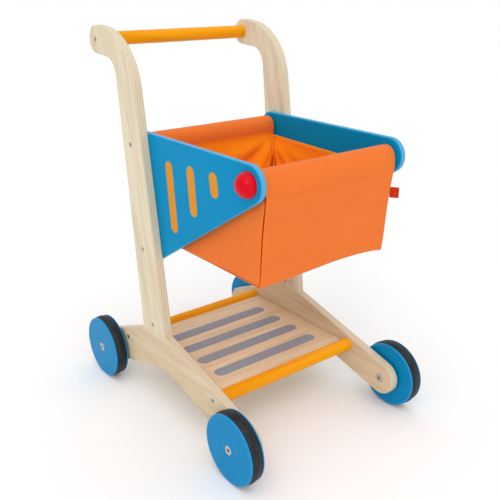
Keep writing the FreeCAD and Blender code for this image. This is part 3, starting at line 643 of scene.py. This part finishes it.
def shape_cloth():
    """Bows, gathers and unevenness of the sewn basket before it settles."""
    for row, line in enumerate(strip):
        for index in line:
            point = points[index]
            bow = math.sin(math.pi * min(1, (point.x + HALF) / (2 * HALF)) ** BOW_LEAN)
            inside = eased(HALF - abs(point.x), 0.0, SLACK_MARGIN)
            if sections[row] in ("front", "floor"):
                near = 1 - eased(point.z - FLOOR_Z, 0.0, BOW_UP)
                near *= 1 - eased(point.y - FRONT_FOOT.y, 0.0, BOW_BACK)
                point.z += (BOW_RISE * bow - 0.0006) * near
            if sections[row] == "front" and row < FRONT_FOLD:
                point.y += slack(point, 3) * inside
            if sections[row] == "floor" and row < REAR_FOLD:
                point.z += FLOOR_RISE * inside + slack(point, 11) * inside
            if sections[row] == "rear" and row < REAR_TOP:
                folds = sum(gather(point, HALF - side * point.x, REAR_FOLDS[name])
                            for name, side in SIDES.items())
                drawn = [(side, tuck(point, side)) for side in SIDES.values()]
                point.y -= folds + slack(point, 5) * inside + sum(pull for side, pull in drawn)
                point.x -= sum(side * pull for side, pull in drawn)
    for name, side in SIDES.items():
        for along in range(1, len(floor_line) - 1):
            for up in range(1, len(wall_shares)):
                point = points[sides[name][along][up]]
                near = eased(min(point.y - FRONT_FOOT.y, REAR_FOOT.y - point.y), -0.01, 0.02)
                hang = 1 - eased(point.z - FLOOR_Z, *HEM_RISE)
                folds = gather(point, max(0.0, REAR_LOOP[0].y - point.y), SIDE_FOLDS[name])
                belly = SIDE_BELLY * math.sin(math.pi * wall_shares[up])
                pull = tuck(point, side)
                point.x -= side * ((folds + (belly + slack(point, 7 * side)) * near) * hang + pull)
                point.y -= pull


def settle(quads, held):
    """Let the sewn cloth hang from its sleeves and top edges for a moment, by cloth simulation. No point
    moves further than SETTLE_REACH."""
    cloth = new_piece("cloth_at_work", points, quads, [])
    group = cloth.vertex_groups.new(name="held")
    group.add(list(held), 1.0, "REPLACE")
    modifier = cloth.modifiers.new("Cloth", "CLOTH")
    settings = modifier.settings
    settings.quality = 6
    settings.mass = 0.0006
    settings.air_damping = 4
    settings.tension_stiffness = 18
    settings.compression_stiffness = 12
    settings.shear_stiffness = 6
    settings.bending_stiffness = 0.35
    settings.vertex_group_mass = "held"
    settings.pin_stiffness = 1
    settings.effector_weights.gravity = 0.35
    modifier.collision_settings.use_self_collision = False
    scene = bpy.context.scene
    for now in range(1, SETTLE_FRAMES + 1):
        scene.frame_set(now)
    settled = cloth.evaluated_get(bpy.context.evaluated_depsgraph_get()).data
    for point, vertex in zip(points, settled.vertices):
        moved = vertex.co - point
        reach = moved.length
        if reach > 1e-9:
            point += moved * min(1.0, SETTLE_REACH / reach)
    scene.frame_set(1)
    mesh = cloth.data
    bpy.data.objects.remove(cloth)
    bpy.data.meshes.remove(mesh)


def quads_of(grid, outward):
    """Quads of a grid, turned so that their normals point out of the basket."""
    quads = []
    for near, far in zip(grid, grid[1:]):
        for step in range(len(near) - 1):
            quad = near[step], far[step], far[step + 1], near[step + 1]
            if None not in quad:
                quads.append(quad if outward else quad[::-1])
    return quads


shape_cloth()
every_quad = quads_of(strip, True)
held = set()
for row, line in enumerate(strip):
    if row <= FRONT_TOP or row >= REAR_TOP:
        held.update(line)
    elif row in (FRONT_FOLD, REAR_FOLD):
        held.update((line[0], line[-1]))
for name, side in SIDES.items():
    every_quad += quads_of(sides[name], side > 0)
    held.update(line[-1] for line in sides[name])
settle(every_quad, held)


INWARD = {"front": -FORWARD, "floor": UP, "rear": FORWARD}
SEAM_ENDS = 4  # grid places over which the turned-in shape grows from a seam's ends


def at_place(values, place):
    """Value in metres for the cloth this many grid places from a seam."""
    return values[place] * MM if place < len(values) else 0.0


def wall_inward(row):
    """Inward direction of the wall that a strip row lies on."""
    return INWARD[sections[max(row, FRONT_TOP + 1)]]


def turn_in_seams():
    """Turn the cloth inwards at every seam, with a slight roll beside it."""
    for row in range(FRONT_TOP, REAR_TOP + 1):
        share = min(1.0, (row - FRONT_TOP) / SEAM_ENDS, (REAR_TOP - row) / SEAM_ENDS)
        direction = wall_inward(row)
        if row in (FRONT_FOLD, REAR_FOLD):
            direction = (direction + UP).normalized()
        for column, index in enumerate(strip[row]):
            place = min(column, len(COLUMNS) - 1 - column)
            points[index] += direction * at_place(SEAM_INSET, place) * share
            centre = 1 if column < place + 1 else -1
            points[index].x += centre * at_place(SEAM_SHIFT, place) * share
    for name, side in SIDES.items():
        last = len(sides[name]) - 1
        for along, line in enumerate(sides[name]):
            for up, index in enumerate(line):
                share = min(1.0, (len(line) - 1 - up) / SEAM_ENDS)
                ends = min(along, last - along)
                points[index].x -= side * at_place(SEAM_INSET, min(ends, up)) * share
                points[index].y += (1 if along <= ends else -1) * at_place(SEAM_SHIFT, ends) * share
                points[index].z += at_place(SEAM_SHIFT, up) * share


turn_in_seams()


# Slots of a cut's faces. The thickness adds 1 to a face's slot for the inside face, painted lighter for light
# through the cloth, and 2 for the cut edge.
CLOTH_SLOTS = [CLOTH_OUT, CLOTH_IN_PAINTED_LIGHT, CLOTH_EDGE, CLOTH_OUT, CLOTH_OUT, CLOTH_EDGE,
               CLOTH_PAINTED_SEAM_SHADE, CLOTH_IN_PAINTED_LIGHT, CLOTH_IN_PAINTED_LIGHT, CLOTH_PAINTED_CREASE_SHADE, CLOTH_IN_PAINTED_LIGHT, CLOTH_EDGE]
SLEEVE_FACE, ALLOWANCE_SHADE_FACE, CREASE_SHADE_FACE = 3, 6, 9
CREASE_SHARPNESS = 0.85


def sheet_piece(name, grid, flat, outward, sewn, allowance):
    """Mesh of one cut of cloth: a grid of points, their places on the flat cut, and real thickness.
    sewn says which grid places lie on a seam, where the cloth folds sharply; allowance says which
    lie past one, in the cloth turned into the basket."""
    spots, numbers, order = [], {}, []
    for row, line in enumerate(grid):
        for column, point in enumerate(line):
            if point is not None:
                numbers[row, column] = len(spots)
                spots.append(point)
                order.append(flat[row][column])
    index_grid = [[numbers.get((row, column)) for column in range(len(line))]
                  for row, line in enumerate(grid)]
    quads = quads_of(index_grid, outward)
    piece = new_piece(name, spots, quads, CLOTH_SLOTS)
    turned = {number for place, number in numbers.items() if allowance(*place)}
    folded = {number for place, number in numbers.items() if sewn(*place)}
    for face in piece.data.polygons:
        # Allowances take the painted seam shade on their outer faces.
        if not turned.isdisjoint(face.vertices):
            face.material_index = ALLOWANCE_SHADE_FACE
        # Faces beside a seam take the painted crease shade.
        elif not folded.isdisjoint(face.vertices):
            face.material_index = CREASE_SHADE_FACE
    layer = piece.data.uv_layers.new(name="flat")
    for loop in piece.data.loops:
        layer.data[loop.index].uv = order[loop.vertex_index]
    sharp = piece.data.attributes.new("crease_edge", "FLOAT", "EDGE")
    for edge in piece.data.edges:
        sharp.data[edge.index].value = CREASE_SHARPNESS if folded.issuperset(edge.vertices) else 0.0
    area = 0.0
    for quad in quads:
        corners = [Vector(order[index]) for index in quad]
        area += abs(sum(a.x * b.y - b.x * a.y for a, b in zip(corners, corners[1:] + corners[:1]))) / 2
    rounded = piece.modifiers.new("Rounded", "SUBSURF")
    rounded.levels = rounded.render_levels = 1
    rounded.boundary_smooth = "PRESERVE_CORNERS"
    thick = piece.modifiers.new("Thickness", "SOLIDIFY")
    thick.thickness = CLOTH
    thick.offset = 0
    thick.material_offset = 1
    thick.material_offset_rim = 2
    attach(piece, "frame")
    return piece, area


def inwards(row, side):
    """Direction of a seam allowance at a strip row: into the basket, halfway between its two walls."""
    direction = wall_inward(row) - ACROSS * side
    if row in (FRONT_FOLD, REAR_FOLD):
        direction = INWARD["front" if row == FRONT_FOLD else "rear"] + UP - ACROSS * side
    return direction.normalized()


def parted(row, side):
    """Direction in which a side piece's edge lies off the strip's edge in the seam."""
    return (wall_inward(row) + ACROSS * side).normalized()


def half_gap(row):
    """Half the space between the two cuts' edges in a seam. They touch at its ends and part between."""
    return CLOTH / 2 + (SEAM_HALF_GAP - CLOTH / 2) * eased(min(row - FRONT_TOP, REAR_TOP - row), 0, 5)


def allowance_end(spot, row, side, closing):
    """Far end of the allowance that starts at spot. The two allowances of a seam meet there."""
    closed = parted(row, side) * closing * (half_gap(row) - CLOTH / 2)
    return spot + inwards(row, side) * SEAM_ALLOWANCE + closed


def strip_cut():
    """Points of the main cut with its allowances, and their places on the flat cloth."""
    grid, flat = [], []
    for row, line in enumerate(strip):
        spots = [points[index].copy() for index in line]
        ends = [None, None]
        if FRONT_TOP <= row <= REAR_TOP:
            for place, side in ((0, -1), (-1, 1)):
                spots[place] -= parted(row, side) * half_gap(row)
                ends[place] = allowance_end(spots[place], row, side, 1)
        places = [(COLUMNS[column] + HALF, flat_rows[row]) for column in range(len(line))]
        grid.append([ends[0], *spots, ends[1]])
        flat.append([(-SEAM_ALLOWANCE, flat_rows[row]), *places, (2 * HALF + SEAM_ALLOWANCE, flat_rows[row])])
    return grid, flat


def side_cut(name):
    """Points of a side cut with its allowances, and their places on the flat cloth."""
    side = SIDES[name]
    indices = sides[name]
    last = len(indices) - 1
    grid, flat = [], []
    rows_of = {0: lambda up: FRONT_FOLD - up, last: lambda up: REAR_FOLD + up}
    for along, line in enumerate(indices):
        spots = [points[index].copy() for index in line]
        row = FRONT_FOLD + along
        spots[0] += parted(row, side) * half_gap(row)
        if along in rows_of:
            for up in range(1, len(line)):
                beside = rows_of[along](up)
                spots[up] += parted(beside, side) * half_gap(beside)
        grid.append([allowance_end(spots[0], row, side, -1), *spots])
        across = floor_steps[along] * MM
        flat.append([(across, -SEAM_ALLOWANCE)] + [(across, share * SIDE_HEIGHT) for share in wall_shares])
    for edge, beyond in ((0, -SEAM_ALLOWANCE), (last, floor_steps[-1] * MM + SEAM_ALLOWANCE)):
        turned, places = [None], [(0, 0)]
        sewn = grid[edge if edge == 0 else last + 1][1:]
        for up, spot in enumerate(sewn):
            turned.append(allowance_end(spot, rows_of[edge](up), side, -1))
            places.append((beyond, wall_shares[up] * SIDE_HEIGHT))
        if edge == 0:
            grid.insert(0, turned)
            flat.insert(0, places)
        else:
            grid.append(turned)
            flat.append(places)
    return grid, flat


strip_piece, strip_area = sheet_piece(
    "basket_main_cloth", *strip_cut(), True,
    lambda row, column: FRONT_TOP < row < REAR_TOP and column in (1, len(COLUMNS)),
    lambda row, column: column in (0, len(COLUMNS) + 1))
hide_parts("basket")
for face in strip_piece.data.polygons:
    along_strip = strip_piece.data.uv_layers["flat"].data[face.loop_start].uv.y
    if not flat_rows[FRONT_TOP] - MM < along_strip < flat_rows[REAR_TOP] + MM:
        face.material_index = SLEEVE_FACE
side_pieces = {
    name: sheet_piece(f"basket_{name}_side_cloth", *side_cut(name), side > 0,
                      lambda along, up: along in (1, len(floor_steps)) or up == 1,
                      lambda along, up: along in (0, len(floor_steps) + 1) or up == 0)
    for name, side in SIDES.items()}


# Stitching ------------------------------------------------------------------------------------

STITCH, STITCH_GAP, THREAD_RADIUS, THREAD_SIDES = 0.0027, 0.0007, 0.00030, 6
# Rings of a stitch: share of its length, lift and radius in thread radii.
STITCH_RINGS = (0.0, -0.9, 0.55), (0.18, 0.15, 0.95), (0.5, 0.5, 1.0), (0.82, 0.15, 0.95), (1.0, -0.9, 0.55)
# Points of a seam or hem that stay free of stitches at each end.
FRONT_FREE, REAR_FREE, HEM_FREE = 4, 3, 4


def add_stitch(spots, faces, start, end, out):
    """One lockstitch: a short thread that dives into the cloth at both ends."""
    along = end - start
    beside = along.cross(out).normalized()
    base = len(spots)
    for share, lift, size in STITCH_RINGS:
        centre = start + along * share + out * lift * THREAD_RADIUS
        for step in range(THREAD_SIDES):
            angle = math.radians(360 / THREAD_SIDES * step)
            spoke = beside * math.cos(angle) + out * math.sin(angle)
            spots.append(centre + spoke * THREAD_RADIUS * size)
    rings = [range(first, first + THREAD_SIDES) for first in range(base, len(spots), THREAD_SIDES)]
    for near, far in zip(rings, rings[1:]):
        for step in range(THREAD_SIDES):
            after = (step + 1) % THREAD_SIDES
            faces.append((near[step], near[after], far[after], far[step]))
    faces.append(tuple(reversed(rings[0])))
    faces.append(tuple(rings[-1]))


def along_line(line):
    """Starts and ends of the stitches on a line of points."""
    lengths = [0.0]
    for start, end in zip(line, line[1:]):
        lengths.append(lengths[-1] + (end - start).length)

    def at(distance):
        for index in range(len(line) - 1):
            if distance <= lengths[index + 1] or index == len(line) - 2:
                span = max(lengths[index + 1] - lengths[index], 1e-9)
                return line[index].lerp(line[index + 1], (distance - lengths[index]) / span)

    count = int(lengths[-1] / (STITCH + STITCH_GAP))
    spare = (lengths[-1] - count * (STITCH + STITCH_GAP)) / 2
    for number in range(count):
        start = spare + number * (STITCH + STITCH_GAP)
        yield at(start), at(start + STITCH)


def sew():
    """Every visible row of stitches on the basket, as one piece."""
    spots, faces, seams = [], [], []
    lift = CLOTH / 2
    for row, free, rise in ((FRONT_TOP, FRONT_FREE, 0), (REAR_TOP, REAR_FREE, MM)):
        seam = [points[index] + Vector((0, -lift, rise)) for index in strip[row][free:-free]]
        seams.append((seam, FORWARD))
    for name, side in SIDES.items():
        hem = [points[line[-2]] for line in sides[name][HEM_FREE:-HEM_FREE]]
        for facing in (-1, 1):
            out = ACROSS * side * facing
            seams.append(([point + out * lift for point in hem], out))
    for line, out in seams:
        for start, end in along_line(line):
            add_stitch(spots, faces, start, end, out)
    piece = new_piece("basket_stitching", spots, faces, [THREAD])
    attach(piece, "frame")
    return piece


stitching = sew()


# Tag ------------------------------------------------------------------------------------------

# Section of the folded ribbon: share of its reach, and distance from its middle in millimetres.
RIBBON_PATH = ((0.0, 0.16), (0.2, 0.22), (0.45, 0.3), (0.7, 0.34), (0.9, 0.34), (0.97, 0.26), (1.0, 0.0),
               (0.97, -0.26), (0.9, -0.34), (0.7, -0.32), (0.45, -0.26), (0.2, -0.2), (0.0, -0.16))
RIBBON_LEVELS, RIBBON_THICKNESS = 7, 0.00025
RIBBON_MARGIN, RIBBON_CURL, RIBBON_DROOP, RIBBON_BEND = 0.0008, 0.0006, 0.0005, 0.0004


def make_ribbon():
    """Plain woven ribbon, folded once and caught in the seam by its two ends."""
    low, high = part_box("basket_tag")
    root = Vector((low.x, high.y, low.z))
    reach = Vector((high.x - low.x, low.y - high.y, 0))
    length = reach.length - RIBBON_MARGIN
    along = reach.normalized()
    out = UP.cross(along)
    height = high.z - low.z
    last = len(RIBBON_PATH) - 1
    spots, flat = [], []
    for step, (share, gap) in enumerate(RIBBON_PATH):
        for level in range(RIBBON_LEVELS):
            rise = level / (RIBBON_LEVELS - 1)
            curl = RIBBON_CURL * share ** 2 * math.sin(1.3 + 2.2 * rise)
            spots.append(root + along * length * share + out * (gap * MM + curl)
                         + UP * (height * rise - RIBBON_DROOP * share))
            flat.append((rise * height, step / last * 2 * length))
    grid = [[step * RIBBON_LEVELS + level for level in range(RIBBON_LEVELS)] for step in range(last + 1)]
    piece = new_piece("basket_tag_ribbon", spots, quads_of(grid, False), [RIBBON])
    layer = piece.data.uv_layers.new(name="flat")
    for loop in piece.data.loops:
        layer.data[loop.index].uv = flat[loop.vertex_index]
    rounded = piece.modifiers.new("Rounded", "SUBSURF")
    rounded.levels = rounded.render_levels = 2
    thick = piece.modifiers.new("Thickness", "SOLIDIFY")
    thick.thickness = RIBBON_THICKNESS
    thick.offset = 0
    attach(piece, "frame")
    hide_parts("basket_tag")


make_ribbon()


# Studio ---------------------------------------------------------------------------------------

FLOOR_REACH, SKY_STRENGTH = 60, 0.8


def make_floor():
    """Seamless pale floor."""
    finish = Finish("pale_floor", Roughness=0.9, Specular_IOR_Level=0.1)
    soft = finish.noise(finish.place(), 3, 2)
    finish.into("Base Color", finish.ramp(soft, (0.3, (0.93, 0.93, 0.93, 1)), (0.7, (0.95, 0.95, 0.95, 1))))
    corners = [Vector((x, y, 0)) * FLOOR_REACH for x, y in ((-1, -1), (1, -1), (1, 1), (-1, 1))]
    floor = new_piece("studio_floor", corners, [(0, 1, 2, 3)], [finish.material], smooth=False)
    floor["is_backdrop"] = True


def aimed(name, data, place, target):
    """Object for a light or camera at place, looking at target."""
    holder = bpy.data.objects.new(name, data)
    holder.location = place
    holder.rotation_mode = "QUATERNION"
    holder.rotation_quaternion = (Vector(target) - Vector(place)).to_track_quat("-Z", "Y")
    bpy.context.scene.collection.objects.link(holder)
    return holder


def area_light(name, place, size, power, target):
    light = bpy.data.lights.new(name, "AREA")
    light.shape = "RECTANGLE"
    light.size, light.size_y = size
    light.energy = power
    aimed(name, light, place, target)


def broad_light(name, place, spread, strength):
    """Very soft light from one side, even over the whole floor."""
    light = bpy.data.lights.new(name, "SUN")
    light.angle = math.radians(spread)
    light.energy = strength
    aimed(name, light, place, (0, 0, 0))


def make_studio():
    make_floor()
    world = bpy.data.worlds.new("studio")
    world.use_nodes = True
    sky = world.node_tree.nodes["Background"].inputs
    sky["Color"].default_value = (1.0, 1.0, 1.0, 1)
    sky["Strength"].default_value = SKY_STRENGTH
    bpy.context.scene.world = world
    broad_light("key", (-0.9, -1.1, 1.9), 70, 0.75)
    broad_light("overhead", (0.5, 0.3, 2.0), 110, 0.27)
    area_light("key_softbox", (-1.3, -1.3, 1.6), (0.7, 0.9), 5, (0, 0, 0.2))
    bpy.context.scene.view_settings.view_transform = "Standard"


CAMERA_PLACE, CAMERA_TARGET = (-0.5268, -0.6810, 0.5376), (0.0026, -0.0077, 0.2048)
CAMERA_LENS, CAMERA_SHIFT = 50.4, (0.0012, 0.0042)


def make_camera():
    data = bpy.data.cameras.new("camera")
    data.sensor_width = 36
    data.lens = CAMERA_LENS
    data.shift_x, data.shift_y = CAMERA_SHIFT
    data.clip_start, data.clip_end = 0.01, 200
    bpy.context.scene.camera = aimed("camera", data, CAMERA_PLACE, CAMERA_TARGET)


make_studio()
make_camera()

boxes = {"cad": CAD_BOX, "visual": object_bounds()}
{name: [list(corner) for corner in box] for name, box in boxes.items()}
